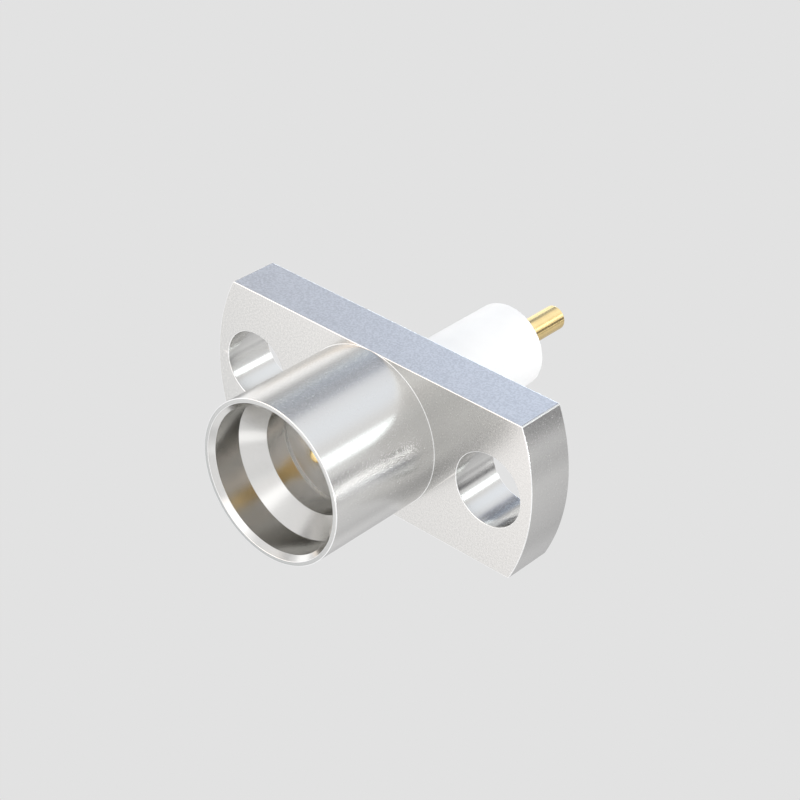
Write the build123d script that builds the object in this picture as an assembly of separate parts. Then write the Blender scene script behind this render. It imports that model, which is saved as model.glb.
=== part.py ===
from build123d import *
import os

# Male push-on coaxial receptacle with a two-hole flange and an extended dielectric.
# The origin is on the connector's axis, in the flange's mounting face.
# The mouth faces -Y, the solder post points along +Y, and the flange is long in X.

# Flange plate, whose round ends leave a wall of END_WALL outside each screw hole
SCREW_HOLE_DIAMETER = 2.00
SCREW_HOLE_SPACING = 7.86
END_WALL = 0.35
FLANGE_THICKNESS = 1.45
FLAT_MARGIN = 0.01
FLANGE_CORNER_RADIUS = 0.06

# Shroud barrel
SHROUD_DIAMETER = 4.45
SHROUD_LENGTH = 3.54
SHROUD_BASE_FILLET = 0.05

# Mouth, from the rim inwards
ENTRY_DIAMETER = 3.95
RIM_CHAMFER = 0.13
CONE_START_DEPTH = 0.95
CONE_LENGTH = 0.54
RIDGE_DIAMETER = 3.05
RIDGE_LENGTH = 0.62
GROOVE_TAPER_LENGTH = 0.23
GROOVE_DEPTH = 0.15
MOUTH_DEPTH = 3.25

# Lip at the mouth's floor, which stops the dielectric from moving forwards
LIP_THICKNESS = 0.40
LIP_HOLE_DIAMETER = 2.00

# Dielectric, pressed into the flange with the same nominal size
DIELECTRIC_DIAMETER = 2.40
DIELECTRIC_EXTENSION = 4.20
DIELECTRIC_EDGE_RADIUS = 0.06

# Centre contact: a thin mating pin in front, then one diameter through to the solder post
PIN_DIAMETER = 0.38
PIN_TIP_DEPTH = 1.58
PIN_TIP_RADIUS = 0.10
CONTACT_DIAMETER = 0.70
POST_LENGTH = 2.05
POST_CHAMFER = 0.05

# Retaining barb on the contact, which the dielectric closes round
BARB_HEIGHT = 0.06
BARB_LENGTH = 0.30
BARB_SETBACK = 0.60

# Broken edge on the housing's outer corners
EDGE_BREAK = 0.04

# Places along the axis
flange_front = -FLANGE_THICKNESS
rim = flange_front - SHROUD_LENGTH
cone_start = rim + CONE_START_DEPTH
cone_end = cone_start + CONE_LENGTH
ridge_end = cone_end + RIDGE_LENGTH
floor = rim + MOUTH_DEPTH
lip_back = floor + LIP_THICKNESS
barb_start = lip_back + BARB_SETBACK
barb_end = barb_start + BARB_LENGTH
pin_tip = rim + PIN_TIP_DEPTH
post_end = DIELECTRIC_EXTENSION + POST_LENGTH

# Distances from the axis
shroud_radius = SHROUD_DIAMETER / 2
flat_height = shroud_radius + FLAT_MARGIN
entry_radius = ENTRY_DIAMETER / 2
ridge_radius = RIDGE_DIAMETER / 2
groove_radius = ridge_radius + GROOVE_DEPTH
lip_hole_radius = LIP_HOLE_DIAMETER / 2
dielectric_radius = DIELECTRIC_DIAMETER / 2
pin_radius = PIN_DIAMETER / 2
contact_radius = CONTACT_DIAMETER / 2
flange_end = (SCREW_HOLE_SPACING + SCREW_HOLE_DIAMETER) / 2 + END_WALL


def turned(*edges):
    """Turn a closed outline, drawn as radius and place along the axis, into a solid."""
    return revolve(make_face(edges), Axis.Y)


def flange():
    """Plate with two flats, round ends and two screw holes, all its edges broken."""
    outline = Circle(flange_end) & Rectangle(2 * flange_end, 2 * flat_height)
    outline = fillet(outline.vertices(), FLANGE_CORNER_RADIUS)
    for side in (-1, 1):
        outline -= Pos(side * SCREW_HOLE_SPACING / 2, 0) * Circle(SCREW_HOLE_DIAMETER / 2)
    plate = extrude(Plane.XZ * outline, FLANGE_THICKNESS)
    face_edges = plate.faces().filter_by(Axis.Y).edges()
    return chamfer(face_edges, EDGE_BREAK)


def shroud():
    """Barrel with a broken edge at its rim, carried on through the flange."""
    return turned(
        Polyline(
            (0, rim),
            (shroud_radius - EDGE_BREAK, rim),
            (shroud_radius, rim + EDGE_BREAK),
            (shroud_radius, -EDGE_BREAK),
            (0, -EDGE_BREAK),
            close=True,
        )
    )


def base_fillet():
    """Small fillet where the barrel meets the flange, cut off above and below by the flats."""
    top = (shroud_radius, flange_front - SHROUD_BASE_FILLET)
    foot = (shroud_radius + SHROUD_BASE_FILLET, flange_front)
    corner = (shroud_radius, flange_front)
    ring = turned(
        RadiusArc(top, foot, -SHROUD_BASE_FILLET),
        Line(foot, corner),
        Line(corner, top),
    )
    face_height = flat_height - EDGE_BREAK
    face_zone = Pos(0, flange_front, 0) * Box(2 * flange_end, 2 * SHROUD_BASE_FILLET, 2 * face_height)
    return ring & face_zone


def mouth():
    """Cutter for the lead-in, entry bore, cone, snap ridge and detent groove."""
    return turned(
        Polyline(
            (0, rim),
            (entry_radius + RIM_CHAMFER, rim),
            (entry_radius, rim + RIM_CHAMFER),
            (entry_radius, cone_start),
            (ridge_radius, cone_end),
            (ridge_radius, ridge_end),
            (groove_radius, ridge_end + GROOVE_TAPER_LENGTH),
            (groove_radius, floor),
            (0, floor),
            close=True,
        )
    )


def dielectric_seat():
    """Cutter for the hole through the lip and the bore behind it."""
    return turned(
        Polyline(
            (0, floor),
            (lip_hole_radius, floor),
            (lip_hole_radius, lip_back),
            (dielectric_radius, lip_back),
            (dielectric_radius, -EDGE_BREAK),
            (dielectric_radius + EDGE_BREAK, 0),
            (0, 0),
            close=True,
        )
    )


def housing():
    """Turned and milled body: shroud and flange in one piece."""
    return flange() + shroud() + base_fillet() - mouth() - dielectric_seat()


def centre_contact():
    """Turned contact: round-nosed pin, shoulder level with the floor, barbed body and solder post."""
    nose_start = (pin_radius - PIN_TIP_RADIUS, pin_tip)
    nose_end = (pin_radius, pin_tip + PIN_TIP_RADIUS)
    return turned(
        Line((0, pin_tip), nose_start),
        RadiusArc(nose_start, nose_end, -PIN_TIP_RADIUS),
        Polyline(
            nose_end,
            (pin_radius, floor),
            (contact_radius, floor),
            (contact_radius, barb_start),
            (contact_radius + BARB_HEIGHT, barb_end),
            (contact_radius, barb_end),
            (contact_radius, post_end - POST_CHAMFER),
            (contact_radius - POST_CHAMFER, post_end),
            (0, post_end),
            (0, pin_tip),
        ),
    )


def dielectric(contact):
    """Stepped insulator that fills its seat, closes round the contact and stands out behind."""
    edge_start = (dielectric_radius, DIELECTRIC_EXTENSION - DIELECTRIC_EDGE_RADIUS)
    edge_end = (dielectric_radius - DIELECTRIC_EDGE_RADIUS, DIELECTRIC_EXTENSION)
    body = turned(
        Polyline(
            (0, floor),
            (lip_hole_radius, floor),
            (lip_hole_radius, lip_back),
            (dielectric_radius, lip_back),
            edge_start,
        ),
        RadiusArc(edge_start, edge_end, -DIELECTRIC_EDGE_RADIUS),
        Polyline(edge_end, (0, DIELECTRIC_EXTENSION), (0, floor)),
    )
    return body - contact


contact = centre_contact()
nodes = {
    "housing": housing(),
    "dielectric": dielectric(contact),
    "centre_contact": contact,
}

os.makedirs("parts", exist_ok=True)
for name, shape in nodes.items():
    shape.label = name
    export_step(shape, f"parts/{name}.step")
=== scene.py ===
import math
from collections import namedtuple

import bmesh
import bpy
from mathutils import Matrix, Vector


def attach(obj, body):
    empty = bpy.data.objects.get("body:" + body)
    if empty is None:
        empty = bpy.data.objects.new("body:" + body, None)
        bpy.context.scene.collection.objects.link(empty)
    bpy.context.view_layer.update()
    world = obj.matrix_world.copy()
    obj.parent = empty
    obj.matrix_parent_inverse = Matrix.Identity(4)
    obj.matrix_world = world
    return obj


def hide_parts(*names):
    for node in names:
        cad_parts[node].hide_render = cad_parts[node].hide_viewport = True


# Push-on coaxial receptacle with a two-hole flange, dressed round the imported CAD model.
# Sizes are in millimetres until a mesh is finished, and follow the names in the CAD source.
# The origin is on the axis in the flange's mounting face, and the mouth faces -Y.

MM = 0.001

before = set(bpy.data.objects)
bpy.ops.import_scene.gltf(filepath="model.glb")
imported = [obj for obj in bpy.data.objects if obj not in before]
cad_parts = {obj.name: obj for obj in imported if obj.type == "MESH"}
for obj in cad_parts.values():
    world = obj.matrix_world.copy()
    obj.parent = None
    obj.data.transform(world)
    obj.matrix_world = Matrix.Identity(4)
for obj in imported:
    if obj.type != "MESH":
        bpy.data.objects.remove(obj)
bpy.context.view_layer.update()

# Flange plate
HOLE_RADIUS = 1.00
HOLE_OFFSET = 3.93
FLANGE_END = 5.28
FLANGE_FLAT = 2.235
FLANGE_FRONT = -1.45
FLANGE_CORNER = 0.06
EDGE_ROUND = 0.02

# Shroud barrel and its mouth
SHROUD_RADIUS = 2.225
RIM = -4.99
BASE_FILLET = 0.014
ENTRY_RADIUS = 1.975
RIM_CHAMFER = 0.13
CONE_START = -4.04
CONE_END = -3.50
RIDGE_RADIUS = 1.525
RIDGE_END = -2.88
GROOVE_START = -2.65
GROOVE_RADIUS = 1.675
MOUTH_FLOOR = -1.74
FINE_ROUND = 0.014

# Seat, dielectric and contact
LIP_BACK = -1.34
LIP_HOLE_RADIUS = 1.00
DIELECTRIC_RADIUS = 1.20
DIELECTRIC_END = 4.20
DIELECTRIC_EDGE = 0.06
PIN_RADIUS = 0.19
PIN_TIP = -3.41
PIN_NOSE = 0.10
CONTACT_RADIUS = 0.35
POST_END = 6.25
POST_EDGE = 0.04
BARB_START = -0.74
BARB_END = -0.44
BARB_HEIGHT = 0.06

# How far a cutter stands clear of what it cuts
CUT_BEYOND = 0.5
CUT_BEFORE_LIP = 0.3

# How finely curves are divided
TURNED_STEPS = 256
HOLE_STEPS = 128
END_ARC_STEPS = 48
CORNER_STEPS = 6
EDGE_STEPS = 5
ROUND_STEPS_PER_TURN = 20

# A point nearer to the axis than this is on it
ON_AXIS = 1e-6

# Edges that turn by more than this, in degrees, stay sharp in the shading
SHARP_ANGLE = 31

# Camera, fitted to the outlines in the photograph
CAMERA_AZIMUTH = 39.6865
CAMERA_ELEVATION = 32.7976
CAMERA_ROLL = 3.0977
CAMERA_DISTANCE = 54.812
CAMERA_RIGHT = 0.8266
CAMERA_UP = 0.6594
FOCAL_PIXELS = 2175.1
IMAGE_PIXELS = 800
SENSOR_WIDTH = 36.0
NEAREST_SEEN = 0.001
FARTHEST_SEEN = 5


def rounded(corners):
    """Outline through corners given as (across, along, radius), each corner turned into an arc."""
    outline = []
    for index, (x, y, radius) in enumerate(corners):
        here = Vector((x, y))
        if radius == 0:
            outline.append(here)
            continue
        back = Vector(corners[index - 1][:2]) - here
        ahead = Vector(corners[(index + 1) % len(corners)][:2]) - here
        outline.extend(corner_arc(here, back.normalized(), ahead.normalized(), radius))
    return outline


def corner_arc(corner, back, ahead, radius):
    """Points on the arc that touches both sides of a corner."""
    half = back.angle(ahead) / 2
    turn = math.pi - 2 * half
    centre = corner + (back + ahead).normalized() * (radius / math.sin(half))
    start = corner + back * (radius / math.tan(half)) - centre
    side = 1 if back.cross(ahead) < 0 else -1
    steps = max(2, math.ceil(ROUND_STEPS_PER_TURN * turn / (2 * math.pi)))
    points = []
    for step in range(steps + 1):
        spin = Matrix.Rotation(side * turn * step / steps, 2)
        points.append(centre + spin @ start)
    return points


def ring_points(outline, steps):
    """Places of a turned outline's vertices, one ring for each point off the axis."""
    vertices = []
    rings = []
    for radius, along in outline:
        if radius < ON_AXIS:
            rings.append([len(vertices)])
            vertices.append((0, along, 0))
            continue
        rings.append(list(range(len(vertices), len(vertices) + steps)))
        for step in range(steps):
            angle = 2 * math.pi * step / steps
            vertices.append((radius * math.cos(angle), along, radius * math.sin(angle)))
    return vertices, rings


def turned(name, corners, steps=TURNED_STEPS, closed=True):
    """Turn an outline, as (radius, along, corner radius), about the Y axis into a closed mesh."""
    vertices, rings = ring_points(rounded(corners), steps)
    faces = []
    pairs = list(zip(rings, rings[1:]))
    if closed:
        pairs.append((rings[-1], rings[0]))
    for low, high in pairs:
        faces.extend(band(low, high, steps))
    return solid(name, vertices, faces)


def band(low, high, steps):
    """Faces between two neighbouring rings, either of which may be a single point."""
    if len(low) == 1 and len(high) == 1:
        return []
    faces = []
    for step in range(steps):
        after = (step + 1) % steps
        if len(low) == 1:
            faces.append((low[0], high[step], high[after]))
        elif len(high) == 1:
            faces.append((low[step], high[0], low[after]))
        else:
            faces.append((low[step], high[step], high[after], low[after]))
    return faces


def solid(name, vertices, faces):
    """Object with a mesh made from vertices and faces, its normals pointing outwards."""
    mesh = bpy.data.meshes.new(name)
    mesh.from_pydata(vertices, [], faces)
    mesh.validate()
    piece = bpy.data.objects.new(name, mesh)
    bpy.context.scene.collection.objects.link(piece)
    face_outwards(mesh)
    return piece


def face_outwards(mesh):
    """Turn every face of a closed mesh outwards."""
    work = bmesh.new()
    work.from_mesh(mesh)
    bmesh.ops.recalc_face_normals(work, faces=work.faces)
    work.to_mesh(mesh)
    work.free()


def combine(piece, tool, operation):
    """Join, cut or intersect one solid with another, which is used up."""
    step = piece.modifiers.new(operation, "BOOLEAN")
    step.operation = operation
    step.object = tool
    step.solver = "EXACT"
    seen = piece.evaluated_get(bpy.context.evaluated_depsgraph_get())
    made = bpy.data.meshes.new_from_object(seen)
    piece.modifiers.clear()
    piece.data = made
    bpy.data.objects.remove(tool)
    return piece


def quarter_turn():
    """Sine and cosine at even steps over a quarter turn, to round an edge with."""
    for step in range(EDGE_STEPS + 1):
        angle = math.pi / 2 * step / EDGE_STEPS
        yield math.sin(angle), math.cos(angle)


def plate_outline(inset):
    """Outline of the flange, two flats and two round ends, moved inwards by inset."""
    end = FLANGE_END - inset
    flat = FLANGE_FLAT - inset
    corner = FLANGE_CORNER - inset
    reach = end - corner
    corner_x = math.sqrt(reach * reach - (flat - corner) ** 2)
    lift = math.atan2(flat - corner, corner_x)
    quarter = []
    for step in range(END_ARC_STEPS // 2 + 1):
        angle = lift * 2 * step / END_ARC_STEPS
        quarter.append((end * math.cos(angle), end * math.sin(angle)))
    for step in range(1, CORNER_STEPS + 1):
        angle = lift + (math.pi / 2 - lift) * step / CORNER_STEPS
        quarter.append((corner_x + corner * math.cos(angle), flat - corner + corner * math.sin(angle)))
    upper = quarter + [(-x, z) for x, z in reversed(quarter)]
    lower = [(x, -z) for x, z in reversed(upper)]
    return upper + lower[1:-1]


def plate():
    """Flange plate without its holes, every outer edge rounded."""
    layers = []
    for sine, cosine in quarter_turn():
        layers.append((FLANGE_FRONT + EDGE_ROUND * (1 - cosine), EDGE_ROUND * (1 - sine)))
    layers += [(FLANGE_FRONT - along, inset) for along, inset in reversed(layers)]
    vertices = []
    loops = []
    for along, inset in layers:
        outline = plate_outline(inset)
        loops.append(list(range(len(vertices), len(vertices) + len(outline))))
        vertices.extend((x, along, z) for x, z in outline)
    faces = [loops[0], loops[-1]]
    for low, high in zip(loops, loops[1:]):
        faces.extend(band(low, high, len(low)))
    return solid("flange_plate", vertices, faces)


def screw_hole_cutter(side):
    """Cutter for one screw hole, flared at both faces so that its edges come out rounded."""
    flare = HOLE_RADIUS + EDGE_ROUND
    cutter = turned(
        "screw_hole_cutter",
        [
            (0, FLANGE_FRONT - CUT_BEYOND, 0),
            (flare + CUT_BEYOND, FLANGE_FRONT - CUT_BEYOND, 0),
            *flared_edge(HOLE_RADIUS, FLANGE_FRONT, 1),
            *reversed(flared_edge(HOLE_RADIUS, 0, -1)),
            (flare + CUT_BEYOND, CUT_BEYOND, 0),
            (0, CUT_BEYOND, 0),
        ],
        HOLE_STEPS,
    )
    cutter.data.transform(Matrix.Translation((side * HOLE_OFFSET, 0, 0)))
    return cutter


def flared_edge(radius, face, inwards):
    """Rounded mouth of a hole, from a point well outside the face to the hole's wall."""
    points = [(radius + EDGE_ROUND + CUT_BEYOND, face - CUT_BEYOND * inwards, 0)]
    for sine, cosine in quarter_turn():
        points.append((radius + EDGE_ROUND * (1 - sine), face + inwards * EDGE_ROUND * (1 - cosine), 0))
    return points


def barrel():
    """Solid shroud with its mouth, which runs on into the flange."""
    return turned(
        "barrel",
        [
            (0, MOUTH_FLOOR, 0),
            (GROOVE_RADIUS, MOUTH_FLOOR, FINE_ROUND),
            (GROOVE_RADIUS, GROOVE_START, FINE_ROUND),
            (RIDGE_RADIUS, RIDGE_END, FINE_ROUND),
            (RIDGE_RADIUS, CONE_END, FINE_ROUND),
            (ENTRY_RADIUS, CONE_START, FINE_ROUND),
            (ENTRY_RADIUS, RIM + RIM_CHAMFER, FINE_ROUND),
            (ENTRY_RADIUS + RIM_CHAMFER, RIM, FINE_ROUND),
            (SHROUD_RADIUS, RIM, EDGE_ROUND),
            (SHROUD_RADIUS, FLANGE_FRONT / 2, 0),
            (0, FLANGE_FRONT / 2, 0),
        ],
    )


def base_fillet():
    """Fillet between barrel and flange, cut off above and below where the flange ends."""
    top = FLANGE_FRONT - BASE_FILLET
    buried = FLANGE_FRONT + BASE_FILLET
    foot = SHROUD_RADIUS + BASE_FILLET
    inside = SHROUD_RADIUS - 4 * BASE_FILLET
    corners = [(inside, top, 0)]
    for sine, cosine in quarter_turn():
        corners.append((foot - BASE_FILLET * cosine, top + BASE_FILLET * sine, 0))
    corners += [(foot, buried, 0), (inside, buried, 0)]
    ring = turned("base_fillet", corners)
    zone = block("fillet_zone", 3 * FLANGE_FLAT, 2 * FLANGE_FLAT, FLANGE_FLAT - EDGE_ROUND)
    return combine(ring, zone, "INTERSECT")


def block(name, half_x, half_y, half_z):
    """Box-shaped tool centred on the origin."""
    vertices = []
    for x in (-half_x, half_x):
        for y in (-half_y, half_y):
            for z in (-half_z, half_z):
                vertices.append((x, y, z))
    faces = [(0, 1, 3, 2), (4, 6, 7, 5), (0, 4, 5, 1), (2, 3, 7, 6), (0, 2, 6, 4), (1, 5, 7, 3)]
    return solid(name, vertices, faces)


def seat_cutter():
    """Cutter for the hole through the lip and the dielectric's seat behind it."""
    return turned(
        "seat_cutter",
        [
            (0, MOUTH_FLOOR - CUT_BEFORE_LIP, 0),
            (LIP_HOLE_RADIUS, MOUTH_FLOOR - CUT_BEFORE_LIP, 0),
            (LIP_HOLE_RADIUS, LIP_BACK, 0),
            (DIELECTRIC_RADIUS, LIP_BACK, 0),
            *reversed(flared_edge(DIELECTRIC_RADIUS, 0, -1)),
            (0, CUT_BEYOND, 0),
        ],
    )


def make_housing():
    """Shroud and flange in one piece."""
    piece = plate()
    piece = combine(piece, barrel(), "UNION")
    piece = combine(piece, base_fillet(), "UNION")
    for side in (-1, 1):
        piece = combine(piece, screw_hole_cutter(side), "DIFFERENCE")
    piece = combine(piece, seat_cutter(), "DIFFERENCE")
    return piece


def make_dielectric():
    """Stepped insulator round the contact."""
    bore = CONTACT_RADIUS
    return turned(
        "dielectric_body",
        [
            (bore, MOUTH_FLOOR, 0),
            (LIP_HOLE_RADIUS, MOUTH_FLOOR, 0),
            (LIP_HOLE_RADIUS, LIP_BACK, 0),
            (DIELECTRIC_RADIUS, LIP_BACK, 0),
            (DIELECTRIC_RADIUS, DIELECTRIC_END, DIELECTRIC_EDGE),
            (bore, DIELECTRIC_END, 0),
            (bore, BARB_END, 0),
            (bore + BARB_HEIGHT, BARB_END, 0),
            (bore, BARB_START, 0),
        ],
    )


def make_contact():
    """Turned contact with its pin, barbed body and solder post."""
    return turned(
        "contact_body",
        [
            (0, PIN_TIP, 0),
            (PIN_RADIUS, PIN_TIP, PIN_NOSE),
            (PIN_RADIUS, MOUTH_FLOOR, 0),
            (CONTACT_RADIUS, MOUTH_FLOOR, 0),
            (CONTACT_RADIUS, BARB_START, 0),
            (CONTACT_RADIUS + BARB_HEIGHT, BARB_END, 0),
            (CONTACT_RADIUS, BARB_END, 0),
            (CONTACT_RADIUS, POST_END, POST_EDGE),
            (0, POST_END, 0),
        ],
        closed=False,
    )


def finish_mesh(piece, name):
    """Shade a finished piece smooth, with normals that follow its larger faces, in metres."""
    piece.data.shade_smooth()
    piece.data.set_sharp_from_angle(angle=math.radians(SHARP_ANGLE))
    even = piece.modifiers.new("even_normals", "WEIGHTED_NORMAL")
    even.keep_sharp = True
    seen = piece.evaluated_get(bpy.context.evaluated_depsgraph_get())
    made = bpy.data.meshes.new_from_object(seen)
    piece.modifiers.clear()
    piece.data = made
    made.transform(Matrix.Scale(MM, 4))
    piece.name = name
    made.name = name
    return piece


# How a finish looks: its roughness and how much that varies, how much its colour varies, the heights
# of its grain and of its tool marks, how far the marks stretch reflections, and the sizes of its
# grain and of its patches of colour. Heights and sizes are in millimetres.
GRAIN_SIZE = 0.05
MARK_PITCH = 0.06
Finish = namedtuple(
    "Finish",
    "roughness spread flecks grain marks streaking grain_size patch_size",
    defaults=(GRAIN_SIZE, GRAIN_SIZE),
)

# Steel is one base colour with a different finish where each tool left its own marks
STEEL_COLOUR = (0.69, 0.684, 0.666)
STEEL_FINISHES = {
    "turned": Finish(0.25, 0.05, 0.01, 0.00008, 0.00003, 0.85),
    "faced": Finish(0.15, 0.03, 0.03, 0.00002, 0.0, 0.0),
    "bored": Finish(0.21, 0.03, 0.02, 0.00003, 0.00004, 0.60),
    "ground": Finish(0.24, 0.08, 0.08, 0.00060, 0.0, 0.0),
    # The bluer colour of the milled flats, set below, is a painted reflection of blue light
    "milled": Finish(0.42, 0.12, 0.17, 0.00050, 0.0, 0.0),
    "profiled": Finish(0.25, 0.05, 0.03, 0.00012, 0.0, 0.0),
    "drilled": Finish(0.21, 0.06, 0.03, 0.00015, 0.0, 0.75),
    # The near-white colour of the rounded edges, set below, is a painted highlight
    "edges": Finish(0.22, 0.03, 0.0, 0.00002, 0.0, 0.0),
}
# The rounded edges are painted much brighter, a painted highlight, and the milled flats a little bluer,
# a painted reflection of blue light
PAINTED_LIGHT_COLOURS = {"edges": (0.98, 0.98, 0.97), "milled": (0.67, 0.684, 0.726)}

PTFE_COLOUR = (0.97, 0.97, 0.96)
PTFE_FINISH = Finish(0.42, 0.08, 0.02, 0.0004, 0.0006, 0.0, 0.12, 0.6)
GOLD_COLOUR = (0.97, 0.74, 0.35)
GOLD_FINISH = Finish(0.17, 0.06, 0.06, 0.00004, 0.00015, 0.75, 0.04, 0.3)

# Parts of the noise's range over which colour goes from dark to light, and roughness from low to high
TINT_FROM = 0.4
TINT_TO = 0.6
ROUGH_FROM = 0.3
ROUGH_TO = 0.7


def node(tree, kind, **settings):
    """New shader node with its settings and the values of its unlinked inputs."""
    made = tree.nodes.new(kind)
    values = settings.pop("values", {})
    for name, value in settings.items():
        setattr(made, name, value)
    for name, value in values.items():
        made.inputs[name].default_value = value
    return made


def link(tree, source, output, target, socket):
    """Join one node's output to another node's input."""
    tree.links.new(source.outputs[output], target.inputs[socket])


def grain(tree, place, size):
    """Fine noise whose lumps are about size across, in millimetres."""
    made = node(tree, "ShaderNodeTexNoise", values={"Scale": 1 / (size * MM), "Detail": 2.0})
    link(tree, place, "Object", made, "Vector")
    return made


def tool_marks(tree, place):
    """Rings that a turning tool leaves, the same all round the axis."""
    parts = node(tree, "ShaderNodeSeparateXYZ")
    link(tree, place, "Object", parts, "Vector")
    flat = node(tree, "ShaderNodeCombineXYZ")
    link(tree, parts, "X", flat, "X")
    link(tree, parts, "Z", flat, "Y")
    reach = node(tree, "ShaderNodeVectorMath", operation="LENGTH")
    link(tree, flat, "Vector", reach, 0)
    ring = node(tree, "ShaderNodeCombineXYZ")
    link(tree, reach, "Value", ring, "X")
    link(tree, parts, "Y", ring, "Y")
    made = node(
        tree,
        "ShaderNodeTexNoise",
        noise_dimensions="2D",
        values={"Scale": 1 / (MARK_PITCH * MM), "Detail": 3.0},
    )
    link(tree, ring, "Vector", made, "Vector")
    return made


def tint(tree, place, shader, colour, spread, size):
    """Base colour that varies a little, lighter and darker, over the surface."""
    cloud = grain(tree, place, size)
    ramp = node(tree, "ShaderNodeValToRGB")
    dark, light = ramp.color_ramp.elements
    dark.position = TINT_FROM
    light.position = TINT_TO
    dark.color = (*(c * (1 - spread / 2) for c in colour), 1)
    light.color = (*(min(1, c * (1 + spread / 2)) for c in colour), 1)
    link(tree, cloud, "Fac", ramp, "Fac")
    link(tree, ramp, "Color", shader, "Base Color")


def vary_roughness(tree, source, shader, middle, spread):
    """Roughness that follows a noise round a middle value."""
    low = middle - spread / 2
    high = middle + spread / 2
    span = node(
        tree,
        "ShaderNodeMapRange",
        values={"From Min": ROUGH_FROM, "From Max": ROUGH_TO, "To Min": low, "To Max": high},
    )
    link(tree, source, "Fac", span, "Value")
    link(tree, span, "Result", shader, "Roughness")


def relief(tree, source, height, normal=None):
    """Bump of that height in millimetres, on top of another bump."""
    made = node(tree, "ShaderNodeBump", values={"Strength": 1.0, "Distance": height * MM})
    link(tree, source, "Fac", made, "Height")
    if normal is not None:
        link(tree, normal, "Normal", made, "Normal")
    return made


def streak(tree, shader, amount):
    """Stretch reflections along the Y axis, as the marks of a tool that goes round it do."""
    shader.inputs["Anisotropic"].default_value = amount
    along = node(tree, "ShaderNodeCombineXYZ", values={"Y": 1.0})
    link(tree, along, "Vector", shader, "Tangent")


def surface(name, colour, metallic, finish):
    """Material that shows its grain and tool marks in its colour, roughness and relief."""
    material = bpy.data.materials.new(name)
    material.use_nodes = True
    tree = material.node_tree
    shader = tree.nodes["Principled BSDF"]
    shader.inputs["Metallic"].default_value = metallic
    place = node(tree, "ShaderNodeTexCoord")
    speckle = grain(tree, place, finish.grain_size)
    tint(tree, place, shader, colour, finish.flecks, finish.patch_size)
    vary_roughness(tree, speckle, shader, finish.roughness, finish.spread)
    bump = relief(tree, speckle, finish.grain)
    if finish.marks:
        bump = relief(tree, tool_marks(tree, place), finish.marks, bump)
    link(tree, bump, "Normal", shader, "Normal")
    if finish.streaking:
        streak(tree, shader, finish.streaking)
    return material


def steel(name):
    """Stainless steel as one kind of machining leaves it, with painted light in the colour of the
    rounded edges and the milled flats.
    """
    # The rounded edges and milled flats take painted-light colours in place of the steel's own
    colour = PAINTED_LIGHT_COLOURS.get(name, STEEL_COLOUR)
    return surface("steel_" + name, colour, 1, STEEL_FINISHES[name])


# How far a normal on a rounding leans away from those of all larger faces
LEAN_OF_ROUNDING = 0.005

# A normal that leans more than this along the axis is on the flange's front or back face
LEAN_OF_PLATE_FACE = 0.5

# A face further than this in front of the flange, in millimetres, isn't on the flange
IN_FRONT = 0.001


def slopes_of_mouth():
    """How far the normals of the chamfer, the cone and the taper lean along the axis."""
    slopes = []
    for across, along in (
        (RIM_CHAMFER, RIM_CHAMFER),
        (ENTRY_RADIUS - RIDGE_RADIUS, CONE_END - CONE_START),
        (GROOVE_RADIUS - RIDGE_RADIUS, GROOVE_START - RIDGE_END),
    ):
        slopes.append(across / math.hypot(across, along))
    return slopes


def on_rounded_edge(face, reach):
    """Whether a face is on a small rounding, because it leans like none of the larger faces."""
    lean = abs(face.normal.y)
    broad = [0, 1]
    if reach < ENTRY_RADIUS + RIM_CHAMFER:
        broad += slopes_of_mouth()
    return min(abs(lean - slope) for slope in broad) > LEAN_OF_ROUNDING


def finish_of(face):
    """Which tool made a face of the housing, from where the face is, in metres."""
    x, y, z = (part / MM for part in face.center)
    reach = math.hypot(x, z)
    # Faces on small roundings get a near-white colour, a painted highlight
    if on_rounded_edge(face, reach):
        return "edges"
    if reach > FLANGE_END - 2 * EDGE_ROUND:
        return "profiled"
    from_hole = min(math.hypot(x - side * HOLE_OFFSET, z) for side in (-1, 1))
    if y > FLANGE_FRONT - IN_FRONT:
        if abs(face.normal.y) > LEAN_OF_PLATE_FACE:
            return "ground"
        if from_hole < HOLE_RADIUS + EDGE_ROUND or reach < DIELECTRIC_RADIUS + EDGE_ROUND:
            return "drilled"
        # Milled faces get a bluer colour, a painted reflection of blue light
        return "milled"
    if y < RIM + RIM_CHAMFER - FINE_ROUND and reach < SHROUD_RADIUS - EDGE_ROUND:
        return "faced"
    if reach < ENTRY_RADIUS + FINE_ROUND:
        return "bored"
    return "turned"


def dress_housing(piece):
    """Give each face of the housing the finish of the tool that made it, with a painted highlight on
    the rounded edges and a painted blue reflection on the milled flats.
    """
    names = list(STEEL_FINISHES)
    piece.data.materials.clear()
    for name in names:
        piece.data.materials.append(steel(name))
    for face in piece.data.polygons:
        face.material_index = names.index(finish_of(face))


def make_pieces():
    """Build the three pieces that stand for the CAD nodes, and dress them."""
    housing = finish_mesh(make_housing(), "housing_body")
    dress_housing(housing)
    dielectric = finish_mesh(make_dielectric(), "dielectric_body")
    # White fluoropolymer, turned, with a waxy surface
    dielectric.data.materials.append(surface("ptfe_white", PTFE_COLOUR, 0, PTFE_FINISH))
    contact = finish_mesh(make_contact(), "contact_body")
    # Thin bright gold over turned metal
    contact.data.materials.append(surface("gold_plate", GOLD_COLOUR, 1, GOLD_FINISH))
    for piece, cad_node, slot in (
        (housing, "housing", "stainless_steel"),
        (dielectric, "dielectric", "fluoropolymer"),
        (contact, "centre_contact", "gold_plating"),
    ):
        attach(piece, "root")
        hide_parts(cad_node)


# Even light from all round, and the tones of the lights. Sky adds blue and takes a little red away.
AMBIENT = (0.98, 0.98, 0.99)
TONES = {
    "white": (1.0, 1.0, 1.0),
    "cool": (0.9, 1.0, 1.02),
    "blue": (0.84, 1.0, 1.12),
    "sky": (-0.3, 0.1, 1.0),
    "warm": (1.1, 1.0, 0.95),
    "amber": (1.24, 1.0, 0.8),
}

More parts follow.
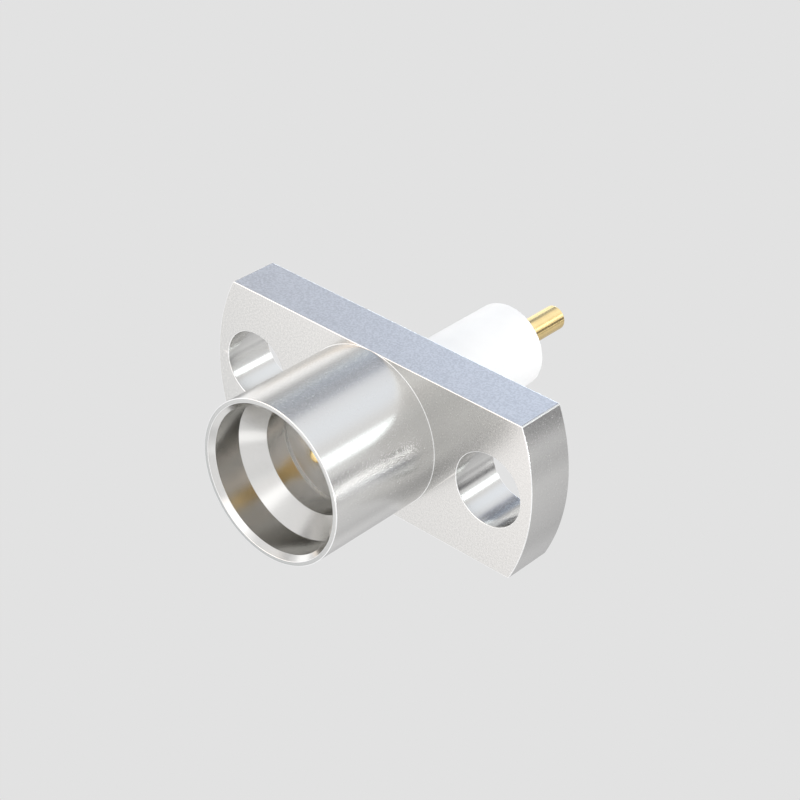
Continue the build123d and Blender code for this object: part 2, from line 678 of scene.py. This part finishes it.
# Soft lights and dark cards far away. Their places, sizes and tilts are in degrees, and a dark card
# has a brightness below nothing.
Light = namedtuple("Light", "azimuth elevation half_width half_height tilt softness brightness tone")
STUDIO = {
    "key_right": Light(132, 24.5, 5, 7.2, -20, 0.2, 2.9, "cool"),
    "lamp_side": Light(101, -3.5, 5, 4.5, 0, 0.3, 21.5, "white"),
    "dark_right_low": Light(143, -3, 8, 10, 0, 0.4, -0.15, "white"),
    "back_high": Light(158, 48, 15, 8, 29, 0.4, 0.25, "blue"),
    "dark_back_left": Light(-147, 42, 19, 7, -48, 0.4, -1.0, "white"),
    "blue_left": Light(-155, 24, 12, 11, 0, 0.5, 0.3, "sky"),
    "back_left_high": Light(-160, 40, 12, 9, 0, 0.5, 0.1, "white"),
    "dark_left_high": Light(-127, 28, 8, 9, 0, 0.4, -0.1, "white"),
    "left_low": Light(-128, 5, 9, 15, 0, 0.4, 0.45, "white"),
    "dark_back_low": Light(160, -32, 20, 20, 0, 0.6, -0.6, "white"),
    "dark_back_under": Light(-155, -45, 16, 12, 0, 0.5, -0.45, "white"),
    "right_low_back": Light(141, -28, 9, 7, 0, 0.5, 0.1, "white"),
    "dark_front_right": Light(50, 32, 9, 26, 20, 0.5, -0.15, "white"),
    "front_top": Light(7, 37, 19, 9, 0, 0.5, 0.4, "white"),
    "front_high": Light(15, 39, 11, 8, 0, 0.4, 0.6, "white"),
    "right_spot": Light(55, -32, 8, 8, 0, 0.4, 0.5, "white"),
    "front_left_low": Light(-28, -24, 15, 16, 0, 0.5, 0.8, "warm"),
    "front_left": Light(-35, 12, 20, 16, 0, 0.5, 1.2, "amber"),
    "dark_front_left_low": Light(-41, -34, 12, 12, 0, 0.5, -0.4, "warm"),
    "dark_end": Light(137, -2, 7, 7, 0, 0.5, -0.9, "white"),
    "dark_end_low": Light(136, -17, 8, 6, 0, 0.5, -0.4, "white"),
    "dark_entry_side": Light(58, 32, 9, 9, 0, 0.5, -0.3, "white"),
    "dark_front_lower": Light(17, -47, 12, 9, 0, 0.5, -0.35, "white"),
    "front_spot": Light(25, 23, 9, 8, 0, 0.5, 0.6, "warm"),
    "dark_front_low": Light(28, -28, 10, 18, 0, 0.5, -0.5, "white"),
    "dark_under": Light(5, -58, 30, 8, 0, 0.5, -0.2, "white"),
    "dark_left_front": Light(-68, 35, 9, 14, 0, 0.6, -0.65, "white"),
    "left_level": Light(-79, 4, 9, 9, 0, 0.5, 0.5, "white"),
    "blue_back": Light(-168, 36, 8, 8, 0, 0.5, 0.2, "sky"),
    "blue_low": Light(-150, 14, 9, 8, 0, 0.5, 3.2, "blue"),
    "dark_gap": Light(128, 5, 6, 4.5, 0, 0.4, -0.65, "white"),
    "dark_left_low": Light(-124, -16, 9, 8, 0, 0.5, -0.8, "white"),
    "entry_side": Light(52, 29, 6, 8, 0, 0.5, 0.4, "cool"),
    "low_back": Light(148, -40, 10, 8, 0, 0.5, 0.2, "white"),
    "dark_side": Light(-115, 32, 12, 10, 0, 0.5, -0.9, "white"),
    "sky_blue": Light(170, 35, 14, 10, 0, 0.5, 0.15, "sky"),
    "front_level_low": Light(-42, -30, 6, 5, 0, 0.5, 0.1, "white"),
}

# The studio is nowhere darker than this, even where dark cards overlap
DARKEST = 0.02


def towards(azimuth, elevation):
    """Unit vector to a place in the studio; azimuth 0 is in front of the mouth and 90 is +X."""
    a = math.radians(azimuth)
    e = math.radians(elevation)
    return Vector((math.sin(a) * math.cos(e), -math.cos(a) * math.cos(e), math.sin(e)))


def level_across(azimuth):
    """Level unit vector at right angles to the direction of an azimuth."""
    angle = math.radians(azimuth)
    return Vector((math.cos(angle), math.sin(angle), 0))


def distance_in(tree, place, light):
    """How far each direction is from a light's middle, where 1 is on its elliptical edge."""
    ahead = towards(light.azimuth, light.elevation)
    across = Matrix.Rotation(math.radians(light.tilt), 3, ahead) @ level_across(light.azimuth)
    upwards = ahead.cross(across)
    facing = Matrix((across, upwards, ahead)).transposed()
    width = math.sin(math.radians(light.half_width))
    height = math.sin(math.radians(light.half_height))
    local = node(
        tree,
        "ShaderNodeMapping",
        vector_type="TEXTURE",
        values={"Location": ahead, "Rotation": facing.to_euler(), "Scale": (width, height, 1)},
    )
    link(tree, place, "Generated", local, "Vector")
    distance = node(tree, "ShaderNodeVectorMath", operation="LENGTH")
    link(tree, local, "Vector", distance, 0)
    return distance


def add_light(tree, place, so_far, light):
    """Add one soft-edged light, or dark card, to the studio."""
    low = 1 - light.softness
    high = 1 + light.softness
    edge = node(
        tree,
        "ShaderNodeMapRange",
        interpolation_type="SMOOTHSTEP",
        values={"From Min": low, "From Max": high, "To Min": 1.0, "To Max": 0.0},
    )
    link(tree, distance_in(tree, place, light), "Value", edge, "Value")
    total = node(tree, "ShaderNodeVectorMath", operation="MULTIPLY_ADD")
    link(tree, edge, "Result", total, 0)
    total.inputs[1].default_value = [light.brightness * part for part in TONES[light.tone]]
    if so_far is None:
        total.inputs[2].default_value = AMBIENT
    else:
        link(tree, so_far, "Vector", total, 2)
    return total


def make_studio():
    """World that holds the soft studio light."""
    world = bpy.data.worlds.new("studio")
    bpy.context.scene.world = world
    world.use_nodes = True
    tree = world.node_tree
    place = node(tree, "ShaderNodeTexCoord")
    total = None
    for light in STUDIO.values():
        total = add_light(tree, place, total, light)
    lowest = node(tree, "ShaderNodeVectorMath", operation="MAXIMUM")
    link(tree, total, "Vector", lowest, 0)
    lowest.inputs[1].default_value = (DARKEST,) * 3
    link(tree, lowest, "Vector", tree.nodes["Background"], "Color")


# Floor and cove, in metres
FLOOR_RADIUS = 0.25
COVE_RADIUS = 0.25
FLOOR_GLOW = 0.7607
COVE_STEPS = 24
FLOOR_STEPS = 96

# Turns a mesh that was turned about Y so that it stands upright, about Z
UPRIGHT = Matrix(((1, 0, 0, 0), (0, 0, 1, 0), (0, 1, 0, 0), (0, 0, 0, 1)))


def make_floor():
    """Pale floor under the part that curves up into a plain surround."""
    level = -FLANGE_FLAT * MM
    outline = [(0, level), (FLOOR_RADIUS, level)]
    for step in range(1, COVE_STEPS + 1):
        angle = math.pi * step / COVE_STEPS
        across = FLOOR_RADIUS + COVE_RADIUS * math.sin(angle)
        outline.append((across, level + COVE_RADIUS * (1 - math.cos(angle))))
    outline.append((0, level + 2 * COVE_RADIUS))
    vertices, rings = ring_points(outline, FLOOR_STEPS)
    faces = []
    for low, high in zip(rings, rings[1:]):
        faces.extend(band(low, high, FLOOR_STEPS))
    floor = solid("floor", vertices, faces)
    floor.data.transform(UPRIGHT)
    floor.data.shade_smooth()
    floor.data.materials.append(floor_paint())
    floor.visible_glossy = False
    floor.visible_diffuse = False
    floor.visible_transmission = False
    floor.visible_shadow = False


def floor_paint():
    """Pale floor, lit so evenly that the part throws no shadow on it."""
    material = bpy.data.materials.new("floor_paint")
    material.use_nodes = True
    tree = material.node_tree
    tree.nodes.clear()
    glow = node(tree, "ShaderNodeEmission", values={"Strength": FLOOR_GLOW})
    out = node(tree, "ShaderNodeOutputMaterial")
    link(tree, glow, "Emission", out, "Surface")
    return material


def make_camera():
    """Camera at the place, tilt and field of view of the photograph."""
    back = towards(CAMERA_AZIMUTH, CAMERA_ELEVATION)
    roll = math.radians(CAMERA_ROLL)
    level = level_across(CAMERA_AZIMUTH)
    upright = back.cross(level)
    right = level * math.cos(roll) + upright * math.sin(roll)
    up = upright * math.cos(roll) - level * math.sin(roll)
    data = bpy.data.cameras.new("camera")
    data.sensor_width = SENSOR_WIDTH
    data.lens = FOCAL_PIXELS * SENSOR_WIDTH / IMAGE_PIXELS
    data.clip_start = NEAREST_SEEN
    data.clip_end = FARTHEST_SEEN
    camera = bpy.data.objects.new("camera", data)
    bpy.context.scene.collection.objects.link(camera)
    place = right * CAMERA_RIGHT + up * CAMERA_UP + back * CAMERA_DISTANCE
    place += Vector((0, FLANGE_FRONT, 0))
    turn = Matrix((right, up, back)).transposed().to_4x4()
    camera.matrix_world = Matrix.Translation(place * MM) @ turn
    bpy.context.scene.camera = camera


# Reflections followed, because light bounces often between the walls of the mouth
MOUTH_BOUNCES = 12

make_camera()
make_pieces()
make_studio()
make_floor()
bpy.context.scene.view_settings.view_transform = "Standard"
bpy.context.scene.cycles.glossy_bounces = MOUTH_BOUNCES
